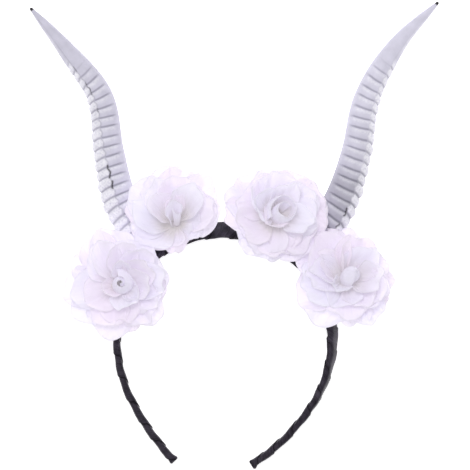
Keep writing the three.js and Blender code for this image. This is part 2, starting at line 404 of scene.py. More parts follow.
@dataclass(frozen=True)
class PetalCloth:
    """Thin white cloth: lavender white on top, warm painted shade low in the flower, with fine radial
    creases.

    Attributes:
        petal: Colour of the petals.
        blush: Colour that some petals turn to.
        recess_shade_colour: Colour of the painted shade low in the flower.
        light_through: Share of the light that passes through the cloth.
        glow: Strength of its own light, painted light that lifts the cloth's shade and stands for light that
            scatters inside it.
        through: Colour of that light and of the light that passes through.
        cloud_scale: Scale of the cloudy tone.
        cloud_spread: Share by which the tone varies.
        crease_scale: Creases to a metre across a petal and along it.
        crease_depth: Depth of the creases in metres.
        threads: Threads of the weave, in radians to a metre.
        thread_depth: Depth of the weave in metres.
    """

    petal: Colour = (0.92, 0.915, 0.985, 1.0)
    blush: Colour = (0.975, 0.905, 0.975, 1.0)
    recess_shade_colour: Colour = (0.81, 0.775, 0.745, 1.0)
    light_through: float = 0.5
    glow: float = 0.135
    through: Colour = (0.965, 0.95, 0.995, 1.0)
    cloud_scale: float = 70.0
    cloud_spread: float = 0.07
    crease_scale: tuple[float, float, float] = (420.0, 60.0, 1.0)
    crease_depth: float = 0.0016
    threads: float = 17000.0
    thread_depth: float = 0.0001

    def build(self, effects: Effects) -> bpy.types.Material:
        """Makes the material.

        Args:
            effects: Shared node groups.

        Returns:
            The cloth material.
        """
        material, board = new_material("petal cloth")
        tinted = board.blend(board.attribute("blush"), self.petal, self.blush)
        # Painted shade: the cloth turns warm grey low in the flower, where its shadows fall.
        deep = board.blend(board.attribute("deep"), tinted, self.recess_shade_colour)
        cloud = {"Vector": board.place(), "Scale": self.cloud_scale, "Spread": self.cloud_spread}
        tone = board.group(effects.tone, cloud)
        colour = board.blend(1.0, deep, tone.outputs["Tone"], "MULTIPLY")
        creases = board.streaks(self.crease_scale, 3.0)
        weave = board.group(effects.weave, {"Vector": board.cut(), "Threads": self.threads})
        creased = board.bump(creases, 0.5, self.crease_depth)
        woven = board.bump(weave.outputs["Height"], 0.12, self.thread_depth, creased)
        cloth = board.add(
            "ShaderNodeBsdfPrincipled",
            {
                "Base Color": colour,
                "Roughness": 0.88,
                "Specular IOR Level": 0.2,
                "Sheen Weight": 0.15,
                "Sheen Roughness": 0.5,
                # Painted light: the cloth glows evenly, lifting its shade.
                "Emission Color": self.through,
                "Emission Strength": self.glow,
                "Normal": woven,
            },
        )
        through = board.add("ShaderNodeBsdfTranslucent", {"Color": self.through, "Normal": woven})
        both = board.add(
            "ShaderNodeMixShader", {0: self.light_through, 1: cloth.outputs[0], 2: through.outputs[0]}
        )
        board.add("ShaderNodeOutputMaterial", {"Surface": both.outputs[0]})
        return material


@dataclass(frozen=True)
class HornPaint:
    """Pale lavender-grey paint over black: painted shade in the grooves, painted highlights on the knobs,
    bare at slits.

    Attributes:
        paint: Colour of the paint.
        groove: Colour of the painted shade in the grooves, the dips between knobs and the seam's crease.
        painted_highlight: Colour of the painted highlights on knobs, lips and the outer edge.
        bare: Colour of the moulding where no paint is left.
        cloud_scale: Scale of the cloudy tone.
        cloud_spread: Share by which the tone varies.
        speck_scale: Scale of the specks.
        speck_depth: Depth of the specks in metres.
        score_scale: Scores to a metre round the horn and along it.
        score_depth: Depth of the scores in metres.
        roughness: Roughness of the paint, before the tone varies it.
    """

    paint: Colour = (0.655, 0.64, 0.755, 1.0)
    groove: Colour = (0.36, 0.35, 0.43, 1.0)
    painted_highlight: Colour = (0.93, 0.92, 0.98, 1.0)
    bare: Colour = (0.012, 0.011, 0.013, 1.0)
    cloud_scale: float = 190.0
    cloud_spread: float = 0.3
    speck_scale: float = 900.0
    speck_depth: float = 0.0002
    score_scale: tuple[float, float, float] = (70.0, 1300.0, 1.0)
    score_depth: float = 0.0003
    roughness: float = 0.5

    def build(self, effects: Effects) -> bpy.types.Material:
        """Makes the material.

        Args:
            effects: Shared node groups.

        Returns:
            The paint material.
        """
        material, board = new_material("horn paint")
        place = board.place()
        cloud = {"Vector": place, "Scale": self.cloud_scale, "Spread": self.cloud_spread}
        tone = board.group(effects.tone, cloud)
        speck = board.noise(place, self.speck_scale, 3.0)
        # Specks that break the painted highlight into glints.
        painted_glints = board.add("ShaderNodeMapRange", {"Value": speck, "From Min": 0.2, "From Max": 0.6})
        patchy = board.maths("MULTIPLY", board.attribute("knob"), painted_glints.outputs[0])
        # Painted highlight on the knobs, the lips and the outer edge.
        painted_highlight = board.blend(patchy, self.paint, self.painted_highlight)
        # Painted shade in the grooves, the dips between knobs and the seam's crease.
        sunk = board.blend(board.attribute("groove"), painted_highlight, self.groove)
        toned = board.blend(1.0, sunk, tone.outputs["Tone"], "MULTIPLY")
        # Painted light and shade along the horn.
        lit = board.blend(1.0, toned, board.attribute("tone"), "MULTIPLY")
        colour = board.blend(board.attribute("bare"), lit, self.bare)
        scored = board.bump(board.streaks(self.score_scale, 2.0), 0.3, self.score_depth)
        fine = board.bump(speck, 0.3, self.speck_depth, scored)
        paint = board.add(
            "ShaderNodeBsdfPrincipled",
            {
                "Base Color": colour,
                "Roughness": board.maths("MULTIPLY", tone.outputs["Tone"], self.roughness),
                "Specular IOR Level": 0.35,
                "Normal": fine,
            },
        )
        board.add("ShaderNodeOutputMaterial", {"Surface": paint.outputs[0]})
        return material


@dataclass(frozen=True)
class SatinRibbon:
    """Charcoal satin: painted sheen in streaks of fine threads along the ribbon, a soft violet sheen, painted
    shade along its edges.

    Attributes:
        thread_and_painted_sheen: Colour of the bright threads, with their painted sheen.
        shade: Colour between them.
        selvedge: Colour of the painted shade along the ribbon's edges, where the laps meet.
        gloss: Tint of the gloss.
        sheen: Tint of the sheen.
        cloud_scale: Scale of the patches in which threads catch the light.
        thread_scale: Threads to a metre along the ribbon and across it.
        threads: Threads of the weave, in radians to a metre.
        thread_depth: Depth of the threads in metres.
    """

    thread_and_painted_sheen: Colour = (0.062, 0.054, 0.074, 1.0)
    shade: Colour = (0.006, 0.005, 0.008, 1.0)
    selvedge: Colour = (0.003, 0.0025, 0.0035, 1.0)
    gloss: Colour = (0.88, 0.80, 1.0, 1.0)
    sheen: Colour = (0.86, 0.78, 0.95, 1.0)
    cloud_scale: float = 160.0
    thread_scale: tuple[float, float, float] = (90.0, 2600.0, 1.0)
    threads: float = 15000.0
    thread_depth: float = 0.00015

    def build(self, effects: Effects) -> bpy.types.Material:
        """Makes the material.

        Args:
            effects: Shared node groups.

        Returns:
            The ribbon material.
        """
        material, board = new_material("satin ribbon")
        # Painted sheen: streaks of threads that catch the light, mixed into the charcoal colour.
        cloud = board.noise(board.place(), self.cloud_scale, 3.0)
        threads = board.streaks(self.thread_scale, 2.0)
        mixed = board.maths("MULTIPLY", cloud, threads)
        streaks = board.add("ShaderNodeMapRange", {"Value": mixed, "From Min": 0.12, "From Max": 0.42})
        body = board.blend(streaks.outputs[0], self.shade, self.thread_and_painted_sheen)
        # Painted shade along the ribbon's edges, where the laps meet.
        colour = board.blend(board.attribute("selvedge"), body, self.selvedge)
        weave = board.group(effects.weave, {"Vector": board.cut(), "Threads": self.threads})
        height = board.maths("ADD", threads, weave.outputs["Height"])
        satin = board.add(
            "ShaderNodeBsdfPrincipled",
            {
                "Base Color": colour,
                "Roughness": 0.42,
                "Specular IOR Level": 0.15,
                "Specular Tint": self.gloss,
                "Sheen Weight": 0.05,
                "Sheen Roughness": 0.4,
                "Sheen Tint": self.sheen,
                "Normal": board.bump(height, 0.3, self.thread_depth),
            },
        )
        board.add("ShaderNodeOutputMaterial", {"Surface": satin.outputs[0]})
        return material


@dataclass(frozen=True)
class StemPlastic:
    """Plain white plastic with a faint cloudiness and a matt skin.

    Attributes:
        colour: Colour of the plastic.
        cloud_scale: Scale of the cloudy tone.
        cloud_spread: Share by which the tone varies.
        skin_scale: Scale of the grain of the skin.
        skin_depth: Depth of that grain in metres.
        roughness: Roughness of the skin, before the tone varies it.
    """

    colour: Colour = (0.78, 0.77, 0.72, 1.0)
    cloud_scale: float = 240.0
    cloud_spread: float = 0.16
    skin_scale: float = 1500.0
    skin_depth: float = 0.0001
    roughness: float = 0.55

    def build(self, effects: Effects) -> bpy.types.Material:
        """Makes the material.

        Args:
            effects: Shared node groups.

        Returns:
            The plastic material.
        """
        material, board = new_material("stem plastic")
        place = board.place()
        cloud = {"Vector": place, "Scale": self.cloud_scale, "Spread": self.cloud_spread}
        tone = board.group(effects.tone, cloud)
        colour = board.blend(1.0, self.colour, tone.outputs["Tone"], "MULTIPLY")
        plastic = board.add(
            "ShaderNodeBsdfPrincipled",
            {
                "Base Color": colour,
                "Roughness": board.maths("MULTIPLY", tone.outputs["Tone"], self.roughness),
                "Normal": board.bump(board.noise(place, self.skin_scale), 0.15, self.skin_depth),
            },
        )
        board.add("ShaderNodeOutputMaterial", {"Surface": plastic.outputs[0]})
        return material


@dataclass(frozen=True)
class Finishes:
    """The finished materials of the headband."""

    petal: bpy.types.Material
    horn: bpy.types.Material
    ribbon: bpy.types.Material
    stem: bpy.types.Material


class Slot(Enum):
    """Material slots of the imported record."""

    RIBBON = "ribbon"
    HORN = "horn"
    PETAL = "petal"


class Side(Enum):
    """Sides of the headband as seen from its front, with the sign of x."""

    LEFT = -1
    RIGHT = 1


def settle(piece: bpy.types.Object, material: bpy.types.Material, node: str) -> None:
    """Dresses a piece, fixes it to the headband and lets it stand for its CAD node.

    Args:
        piece: Finished object.
        material: Its finish.
        node: CAD node that it stands for.
    """
    piece.data.materials.append(material)
    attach(piece, "root")
    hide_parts(node)


@dataclass(frozen=True)
class Arc:
    """A circular stretch of the hoop: its centre, radius and the angles that it runs between."""

    x: float
    y: float
    radius: float
    start: float
    stop: float


@dataclass(frozen=True)
class Bend:
    """A stretch of an arm that carries on from the one before: its radius and sweep."""

    radius: float
    sweep: float


@dataclass(frozen=True)
class HoopSection:
    """Hoop section at a share of its length: width, thickness and turn towards the front."""

    at: float
    width: float
    thickness: float
    turn: float


@dataclass(frozen=True)
class Hoop:
    """The springy hoop and the satin ribbon that is wound round it from tip to tip.

    Attributes:
        crown_x: Centre of the half circle over the crown, with crown_y.
        crown_radius: Radius of that half circle.
        left_arm: Bends of the left arm, from the crown to the tip.
        right_arm: Bends of the right arm.
        sections: Sections at shares of the length from the left tip.
        squareness: Power of the section's superellipse, 2 for an oval.
        pitch: Advance of the ribbon along the hoop with each turn.
        reach: Length of hoop that one turn of the ribbon covers.
        cloth: Thickness of the ribbon.
        bedding: Height of the ribbon over the bare hoop.
        step: Further height where it covers the turn before.
        margin: Height kept free over that for the ribbon's ridges.
        pucker: Height of the ribbon's puckers.
        ridge: Height of the ridge along the ribbon's edge that lies on the turn before.
        painted_lap_shade_width: Width of the painted shade along each edge, as a share of the ribbon's width.
        wander: How far the laps stray along the hoop, by a slow and a quick wave.
        fold: Length of ribbon that is folded in over a tip.
        overhang: How far that fold stands out past the tip.
        tip_swell: Height of the swelling round a tip.
        core_rows: Rows of the core's grid, and core_columns round it.
        ribbon_rows: Rows of the ribbon's grid along it, and ribbon_columns across it.
    """

    crown_x: float = -6.0
    crown_y: float = -59.8
    crown_radius: float = 62.6
    left_arm: tuple[Bend, ...] = (Bend(81.0, 28.0), Bend(157.0, 14.8))
    right_arm: tuple[Bend, ...] = (Bend(70.0, 32.0), Bend(116.0, 25.4))
    sections: tuple[HoopSection, ...] = (
        HoopSection(0.0, 6.6, 3.4, 0.0),
        HoopSection(0.25, 7.6, 3.4, 0.0),
        HoopSection(0.5, 10.5, 3.4, 48.0),
        HoopSection(0.76, 8.4, 3.4, 24.0),
        HoopSection(0.89, 7.2, 3.4, 0.0),
        HoopSection(1.0, 6.6, 3.4, 0.0),
    )
    squareness: float = 3.4
    pitch: float = 14.0
    reach: float = 17.5
    cloth: float = 0.3
    bedding: float = 0.16
    step: float = 0.4
    margin: float = 0.1
    pucker: float = 0.06
    ridge: float = 0.12
    painted_lap_shade_width: float = 0.045
    wander: tuple[float, float] = (1.0, 0.7)
    fold: float = 3.0
    overhang: float = 0.7
    tip_swell: float = 0.65
    core_rows: int = 181
    core_columns: int = 32
    ribbon_rows: int = 1500
    ribbon_columns: int = 17

    def arcs(self) -> list[Arc]:
        """The centreline as tangent arcs: each arm's circles touch the one before on its end radius.

        Returns:
            The arcs from the left tip over the crown to the right tip.
        """
        arms: dict[Side, list[Arc]] = {Side.LEFT: [], Side.RIGHT: []}
        for side, bends in ((Side.LEFT, self.left_arm), (Side.RIGHT, self.right_arm)):
            x, y, radius, turned = self.crown_x, self.crown_y, self.crown_radius, 0.0
            for bend in bends:
                x += side.value * np.cos(np.radians(turned)) * (radius - bend.radius)
                y -= np.sin(np.radians(turned)) * (radius - bend.radius)
                radius = bend.radius
                arms[side].append(Arc(x, y, radius, turned, turned + bend.sweep))
                turned += bend.sweep
        left = [Arc(a.x, a.y, a.radius, 180 + a.stop, 180 + a.start) for a in reversed(arms[Side.LEFT])]
        crown = Arc(self.crown_x, self.crown_y, self.crown_radius, 180.0, 0.0)
        right = [Arc(a.x, a.y, a.radius, -a.start, -a.stop) for a in arms[Side.RIGHT]]
        return [*left, crown, *right]

    def lengths(self) -> Array:
        """Length of each arc in millimetres."""
        return np.array([a.radius * np.radians(a.start - a.stop) for a in self.arcs()])

    def wound(self, along: Array, around: Array, lift: Array, closing: Array) -> Array:
        """Points round the hoop: a squarish oval section carried along the arcs.

        The section is a superellipse, wide across the outer face. It is turned towards the front by the
        table's turn and stands so high that its lowest point lies on the surface under the headband.

        Args:
            along: Distance from the left tip in millimetres.
            around: Angle round the section, 0 at the front edge of the outer face.
            lift: Height above the bare hoop.
            closing: Share of the section's size, under 1 where cloth folds in over a tip.

        Returns:
            Points of shape along.shape + (3,).
        """
        arcs, lengths = tuple(self.arcs()), self.lengths()
        starts = np.concatenate([[0.0], np.cumsum(lengths)[:-1]])
        inside = np.clip(along, 0.0, lengths.sum())
        which = np.clip(np.searchsorted(starts, inside, side="right") - 1, 0, len(arcs) - 1)
        share = (inside - starts[which]) / lengths[which]
        begin, end = column(arcs, "start")[which], column(arcs, "stop")[which]
        angle = np.radians(begin + (end - begin) * share)
        outward = np.stack([np.cos(angle), np.sin(angle), np.zeros_like(angle)], axis=-1)
        forward = np.stack([np.sin(angle), -np.cos(angle), np.zeros_like(angle)], axis=-1)
        centre_x, centre_y = column(arcs, "x")[which], column(arcs, "y")[which]
        centre = np.stack([centre_x, centre_y, np.zeros_like(angle)], axis=-1)
        centre = centre + outward * column(arcs, "radius")[which][..., None]
        centre = centre + forward * np.clip(along - inside, -self.overhang, self.overhang)[..., None]
        at = inside / lengths.sum()
        knots = column(self.sections, "at")
        half_width = np.interp(at, knots, column(self.sections, "width")) / 2
        half_thick = np.interp(at, knots, column(self.sections, "thickness")) / 2
        turn = np.radians(np.interp(at, knots, column(self.sections, "turn")))
        front = np.array([0.0, 0.0, 1.0])
        across = np.cos(turn)[..., None] * front - np.sin(turn)[..., None] * outward
        normal = np.cos(turn)[..., None] * outward + np.sin(turn)[..., None] * front
        power = 2.0 / self.squareness
        wide = np.sign(np.cos(around)) * np.abs(np.cos(around)) ** power * (half_width + lift)
        thick = np.sign(np.sin(around)) * np.abs(np.sin(around)) ** power * (half_thick + lift)
        dual = self.squareness / (self.squareness - 1.0)
        top = self.step + self.margin
        low = ((half_width + top) * np.cos(turn)) ** dual + ((half_thick + top) * np.sin(turn)) ** dual
        height = low ** (1.0 / dual)
        offset = across * (wide * closing)[..., None] + normal * (thick * closing)[..., None]
        return centre + front * height[..., None] + offset

    def build_core(self, ribbon: bpy.types.Material) -> bpy.types.Object:
        """The hoop itself, a closed tube a little under the ribbon, ended by rows that close to a point.

        Args:
            ribbon: Finish of the ribbon, whose under side lines it.

        Returns:
            The hoop's object.
        """
        length = self.lengths().sum()
        along = np.linspace(0.0, length, self.core_rows)
        along = np.concatenate([along[:1], along, along[-1:]])
        closing = np.concatenate([[0.0], np.ones(self.core_rows), [0.0]])
        around = np.linspace(0.0, 2 * np.pi, self.core_columns, endpoint=False)
        rows, angles = np.meshgrid(along, around, indexing="ij")
        points = self.wound(rows, angles, np.zeros_like(rows), np.broadcast_to(closing[:, None], rows.shape))
        uv = np.stack([rows, angles], axis=-1) * MM
        # The core takes no painted lap shade.
        grid = Grid(points[None], uv[None], {"selvedge": np.zeros((1, *rows.shape))}, wrapped=True)
        piece = grid.to_object("hoop_core")
        close_up(piece)
        settle(piece, ribbon, "band")
        return piece

    def build_ribbon(self, ribbon: bpy.types.Material) -> bpy.types.Object:
        """The ribbon: a strip wound as a helix, each turn laid over the front edge of the one before.

        Along the strip the angle grows evenly and the place on the hoop advances by one pitch a turn.
        Across the strip the place on the hoop advances by the strip's reach. The strip lies a step higher
        where it covers the turn before, swells a little at the tips and folds in over them.

        Args:
            ribbon: Finish of the ribbon.

        Returns:
            The ribbon's object.
        """
        length = self.lengths().sum()
        lap = (self.reach - self.pitch) / self.reach
        turns = np.linspace(-self.reach / self.pitch, length / self.pitch + 0.2, self.ribbon_rows)
        slow, quick = self.wander
        stray = slow * np.sin(2.1 * turns) + quick * np.sin(5.3 * turns + 1.0)
        turn, across = np.meshgrid(turns, np.linspace(0.0, 1.0, self.ribbon_columns), indexing="ij")
        along = self.pitch * turn + self.reach * across + stray[:, None]
        covering = 1.0 - smooth(lap, lap + 0.3, across)
        pucker = self.pucker * np.sin(9.0 * turn + 7.0 * across) * np.sin(np.pi * across)
        lift = self.bedding + self.step * covering + pucker + self.ridge * bell(across, 0.05)
        past = np.maximum(-along, along - length)
        lift = lift + self.tip_swell * bell(past, 1.5) * np.sin(2 * np.pi * turn) ** 2
        closing = 1.0 - smooth(0.0, self.fold, past) * 0.97
        points = self.wound(along, 2 * np.pi * turn, lift, closing)
        run = np.hypot(self.pitch, self.arm_girth())
        uv = np.stack([turn * run, across * self.cut_width()], axis=-1) * MM
        # Painted shade along both edges of the ribbon, where the laps meet.
        selvedge = np.maximum(bell(across, self.painted_lap_shade_width), bell(1.0 - across, self.painted_lap_shade_width))
        grid = Grid(points[None], uv[None], {"selvedge": selvedge[None]})
        piece = grid.to_object("hoop_ribbon")
        thicken(piece, self.cloth)
        settle(piece, ribbon, "band")
        return piece

    def arm_girth(self) -> float:
        """Length once round an arm of the hoop."""
        return 2 * (self.sections[1].width + self.sections[1].thickness)

    def cut_width(self) -> float:
        """Width of the ribbon as it was cut: its reach along the hoop, less its slant."""
        return self.reach * self.arm_girth() / float(np.hypot(self.arm_girth(), self.pitch))


@dataclass(frozen=True)
class AxisPoint:
    """A point of a horn's axis."""

    x: float
    y: float
    z: float


@dataclass(frozen=True)
class Girth:
    """Half width of a horn at a share of its axis."""

    at: float
    radius: float


@dataclass(frozen=True)
class Tone:
    """Brightness of painted light and shade on a horn at a share of its axis."""

    at: float
    tone: float


@dataclass(frozen=True)
class Slit:
    """An open stretch of the lengthwise seam, between two shares of the axis, and how dark it looks."""

    start: float
    stop: float
    dark: float


@dataclass(frozen=True)
class Horn:
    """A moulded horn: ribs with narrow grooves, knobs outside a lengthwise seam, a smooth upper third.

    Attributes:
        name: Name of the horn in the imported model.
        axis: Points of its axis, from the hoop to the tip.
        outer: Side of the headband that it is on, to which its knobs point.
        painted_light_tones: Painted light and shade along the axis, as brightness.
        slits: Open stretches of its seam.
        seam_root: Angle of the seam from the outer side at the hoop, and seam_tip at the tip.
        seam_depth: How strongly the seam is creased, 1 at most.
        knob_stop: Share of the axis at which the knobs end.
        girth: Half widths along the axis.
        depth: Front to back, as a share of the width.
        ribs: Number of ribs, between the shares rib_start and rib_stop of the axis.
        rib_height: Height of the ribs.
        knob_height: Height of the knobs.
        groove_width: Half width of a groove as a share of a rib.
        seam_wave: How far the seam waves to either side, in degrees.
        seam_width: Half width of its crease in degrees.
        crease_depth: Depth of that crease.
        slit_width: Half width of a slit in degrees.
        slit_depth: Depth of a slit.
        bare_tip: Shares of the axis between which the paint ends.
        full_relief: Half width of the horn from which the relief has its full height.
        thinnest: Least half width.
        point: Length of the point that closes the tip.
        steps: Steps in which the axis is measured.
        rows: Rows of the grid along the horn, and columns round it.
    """

    name: str
    axis: tuple[AxisPoint, ...]
    outer: Side
    painted_light_tones: tuple[Tone, ...]
    slits: tuple[Slit, ...]
    seam_root: float
    seam_tip: float
    seam_depth: float
    knob_stop: float
    girth: tuple[Girth, ...] = (
        Girth(0.0, 10.9),
        Girth(0.16, 10.2),
        Girth(0.3, 9.2),
        Girth(0.55, 7.8),
        Girth(0.72, 6.3),
        Girth(0.87, 3.8),
        Girth(0.95, 2.2),
        Girth(1.0, 0.8),
    )
    depth: float = 0.8
    ribs: int = 20
    rib_start: float = 0.02
    rib_stop: float = 0.73
    rib_height: float = 0.9
    knob_height: float = 1.7
    groove_width: float = 0.085
    seam_wave: float = 3.5
    seam_width: float = 2.4
    crease_depth: float = 0.3
    slit_width: float = 2.8
    slit_depth: float = 0.7
    bare_tip: tuple[float, float] = (0.988, 0.993)
    full_relief: float = 5.0
    thinnest: float = 0.15
    point: float = 0.5
    steps: int = 2000
    rows: int = 560
    columns: int = 121

    def centreline(self, at: Array) -> tuple[Array, Array]:
        """Axis points and directions at shares of the axis length, on a smooth curve through its points.

        Args:
            at: Shares from the hoop to the tip.

        Returns:
            Points and unit directions, each of shape (len(at), 3).
        """
        given = np.stack([column(self.axis, "x"), column(self.axis, "y"), column(self.axis, "z")], axis=-1)
        chords = np.linalg.norm(np.diff(given, axis=0), axis=1)
        knots = np.concatenate([[0.0], np.cumsum(chords)])
        fine = np.linspace(0.0, knots[-1], self.steps)
        path = flowing(fine, knots, given)
        run = np.concatenate([[0.0], np.cumsum(np.linalg.norm(np.diff(path, axis=0), axis=1))])
        share = run / run[-1]
        points = np.stack([np.interp(at, share, path[:, k]) for k in range(3)], axis=-1)
        slope = np.gradient(path, run, axis=0)
        direction = np.stack([np.interp(at, share, slope[:, k]) for k in range(3)], axis=-1)
        return points, direction / np.linalg.norm(direction, axis=1, keepdims=True)

    def relief(self, at: Array, around: Array) -> dict[str, Array]:
        """Height of the moulded detail and the masks for its paint, with painted shade and painted
        highlights.

        Along the horn a phase counts the ribs. Each rib swells towards the tip, ends in a lip and drops
        into a narrow groove, and all of this fades out on the inner side. Outside a wavy lengthwise seam
        each rib ends in a round knob, and the grooves bow back towards the hoop. The seam is a fine crease,
        open where a slit is stated.

        Args:
            at: Share of the axis, shape (rows, 1).
            around: Angle from the outer side towards the front, in degrees from -180 to 180.

        Returns:
            Arrays of the height, the painted shade of grooves, dips and seam, the painted highlight of knobs,
            lips and outer edge, and the bare moulding.
        """
        side = np.abs(around)
        even = (at - self.rib_start) / (self.rib_stop - self.rib_start) * self.ribs
        ribbed = smooth(0.0, 0.03, at) * (1.0 - smooth(self.rib_stop - 0.07, self.rib_stop + 0.02, at))
        knobbed = smooth(0.0, 0.03, at) * (1.0 - smooth(self.knob_stop - 0.05, self.knob_stop + 0.01, at))
        middle = self.seam_root + (self.seam_tip - self.seam_root) * smooth(0.15, 0.75, at)
        seam = middle + self.seam_wave * np.sin(2 * np.pi * even) * ribbed
        bow = 0.18 * smooth(150.0, 70.0, side) + 0.3 * smooth(middle, 10.0, side)
        phase = even + bow + 0.04 * np.sin(2.3 * even)
        place = phase - np.floor(phase)
        gap = np.minimum(place, 1.0 - place)
        outside = smooth(seam + 4.0, seam - 4.0, side)
        face = (1.0 - outside) * (1.0 - smooth(118.0, 160.0, side)) * ribbed
        lip = smooth(0.0, 0.72, place) * (1.0 - smooth(0.82, 1.0, place)) * face
        groove = bell(gap, self.groove_width) * face
        size = 0.9 + 0.25 * np.sin(3.7 * np.floor(phase) + 1.3 * np.floor(phase) ** 2)
        knob = np.sin(np.pi * place) ** 0.6 * size * outside * knobbed
        dip = bell(gap, 0.12) * outside * knobbed
        crease = bell(side - seam, self.seam_width) * (1.0 - 0.7 * smooth(0.75, 0.95, at)) * self.seam_depth
        gaping = np.zeros_like(at)
        for slit in self.slits:
            ends = smooth(slit.start - 0.004, slit.start, at) * smooth(slit.stop + 0.004, slit.stop, at)
            gaping = np.maximum(gaping, slit.dark * ends)
        tip = smooth(*self.bare_tip, at) * np.ones_like(around)
        bare = np.maximum(bell(around - seam, self.slit_width) * gaping, tip)
        fade = 1.0 - 0.4 * smooth(0.2, 0.7, at)
        knobs = self.knob_height * (knob - 0.35 * outside * knobbed)
        height = self.rib_height * (0.55 * lip - groove) + knobs
        slits = self.slit_depth * bell(around - seam, 3.0) * gaping
        height = height * fade - self.crease_depth * crease - slits
        # Painted shade in the grooves, the dips between knobs and the seam's crease.
        painted_shade = np.maximum(0.9 * groove, np.maximum(0.65 * dip, 0.6 * crease))
        # Painted highlight along the outer edge past the knobs, near the tip.
        edge = smooth(60.0, 20.0, side) * smooth(self.knob_stop, self.knob_stop + 0.05, at)
        # Painted highlight on the knobs, the lips and that edge.
        painted_highlight = np.clip(knob + 0.55 * lip**4 + 0.3 * outside * knobbed + 0.6 * edge, 0.0, 1.0)
        return {"height": height, "groove": painted_shade, "knob": painted_highlight, "bare": bare}

    def build(self, paint: bpy.types.Material) -> bpy.types.Object:
        """Makes the horn: an oval section carried along the axis with the relief added to its radius.

        Args:
            paint: Finish of the horn.

        Returns:
            The horn's object.
        """
        at = np.linspace(0.0, 1.0, self.rows)
        points, direction = self.centreline(at)
        front = np.cross(np.cross(direction, [0.0, 0.0, 1.0]), direction)
        front = front / np.linalg.norm(front, axis=1, keepdims=True)
        outward = self.outer.value * np.cross(direction, front)
        around = np.linspace(-180.0, 180.0, self.columns)[None, :]
        relief = self.relief(at[:, None], around)
        radius = flowing(at, column(self.girth, "at"), column(self.girth, "radius"))[:, None]
        limit = np.minimum(1.0, radius / self.full_relief)
        reach = np.maximum(radius + relief["height"] * limit, self.thinnest)
        cosine, sine = np.cos(np.radians(around)), np.sin(np.radians(around))
        body = points[:, None, :] + outward[:, None, :] * (reach * cosine)[..., None]
        body = body + front[:, None, :] * (reach * sine * self.depth)[..., None]
        ends = np.broadcast_to(points[[0, -1], None, :], (2, self.columns, 3)).copy()
        ends[1] += direction[-1] * self.point
        solid = np.concatenate([ends[:1], body, ends[1:]])
        # Painted light and shade along the horn, lifted towards white by the painted highlight.
        tone = np.interp(at, column(self.painted_light_tones, "at"), column(self.painted_light_tones, "tone"))[:, None]
        tone = tone + np.maximum(0.0, 1.0 - tone) * relief["knob"] ** 2
        masks = {"tone": tone, **{key: relief[key] for key in ("groove", "knob", "bare")}}
        values = {}
        for key, mask in masks.items():
            full = np.broadcast_to(mask, reach.shape)
            values[key] = np.concatenate([full[:1], full, full[-1:]])[None]
        run = np.concatenate([at[:1], at, at[-1:]])[:, None] * np.linalg.norm(points[-1] - points[0])
        girth = around / 360.0 * 2 * np.pi * self.girth[1].radius
        uv = np.stack(np.broadcast_arrays(girth, run), axis=-1)[None] * MM
        piece = Grid(solid[None], uv, values).to_object(f"{self.name}_moulding")
        close_up(piece)
        settle(piece, paint, self.name)
        return piece


class Ring(Enum):
    """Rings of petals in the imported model, from the outside in."""

    OUTER = "outer_petals"
    MIDDLE = "middle_petals"
    INNER = "inner_petals"
    HEART = "heart_petals"


@dataclass(frozen=True)
class RingShape:
    """What the petals of one ring share.

    Attributes:
        rise: Height of the lower roots on the stem.
        step: Further height of every second root.
        root_open: Angle off the flower's axis at the roots.
        roll: How far the rims roll outwards.
        ruffle: Height of the ruffles along the rims.
        slanted: Share of the heart's slant that the ring takes on.
        painted_shade: Share of a petal's length up to which it has painted shade.
    """

    rise: float
    step: float
    root_open: float
    roll: float
    ruffle: float
    slanted: float
    painted_shade: float


RING_SHAPES = {
    Ring.OUTER: RingShape(0.6, 1.1, 89.0, 1.4, 1.3, 0.0, 0.2),
    Ring.MIDDLE: RingShape(2.8, 0.7, 84.0, 1.7, 1.4, 0.5, 0.5),
    Ring.INNER: RingShape(4.4, 0.5, 81.0, 1.9, 1.0, 1.0, 0.65),
    Ring.HEART: RingShape(6.0, 0.6, 70.0, 1.3, 0.35, 1.0, 0.8),
}


@dataclass(frozen=True)
class Petal:
    """One cloth petal of a rose.

    Attributes:
        azimuth: Direction of its middle line about the flower's axis, 0 to the right and 90 to the horns.
        tip_open: Angle off the axis at its rim.
        length: Length of its middle line.
        half_width: Half of its greatest width.
        cup: Angle by which each side edge turns in towards the axis.
    """

    azimuth: float
    tip_open: float
    length: float
    half_width: float
    cup: float


@dataclass(frozen=True)
class Spread:
    """How much the petals of an even ring differ, to either side.

    Attributes:
        place: Share of the angle from one petal to the next.
        length: Share of the length.
        width: Share of the width.
        opening: Angle off the axis at the rim.
        cup: Share of the cup.
    """

    place: float = 0.2
    length: float = 0.08
    width: float = 0.12
    opening: float = 12.0
    cup: float = 0.4


@dataclass(frozen=True)
class Lobe:
    """An outer petal, by what the rose's outline shows of it.

    Attributes:
        azimuth: Direction of its middle line.
        reach: How far its rim lies from the flower's root.
        half_width: Half of its greatest width.
    """

    azimuth: float
    reach: float
    half_width: float


@dataclass(frozen=True)
class Bud:
    """A strip of cloth rolled up into a rose's bud.

    Attributes:
        turns: Turns of the roll.
        start: Direction in which the roll starts.
        inner: Radius where the roll starts.
        outer: Radius where it ends.
        height: Width of the strip.
        closing: Share by which the top closes in, below zero where it opens.
        flare: How far the free top edge rolls outwards.
        droop: Share of the height by which the top edge sinks along the roll.
    """

    turns: float
    start: float
    inner: float
    outer: float
    height: float
    closing: float
    flare: float
    droop: float


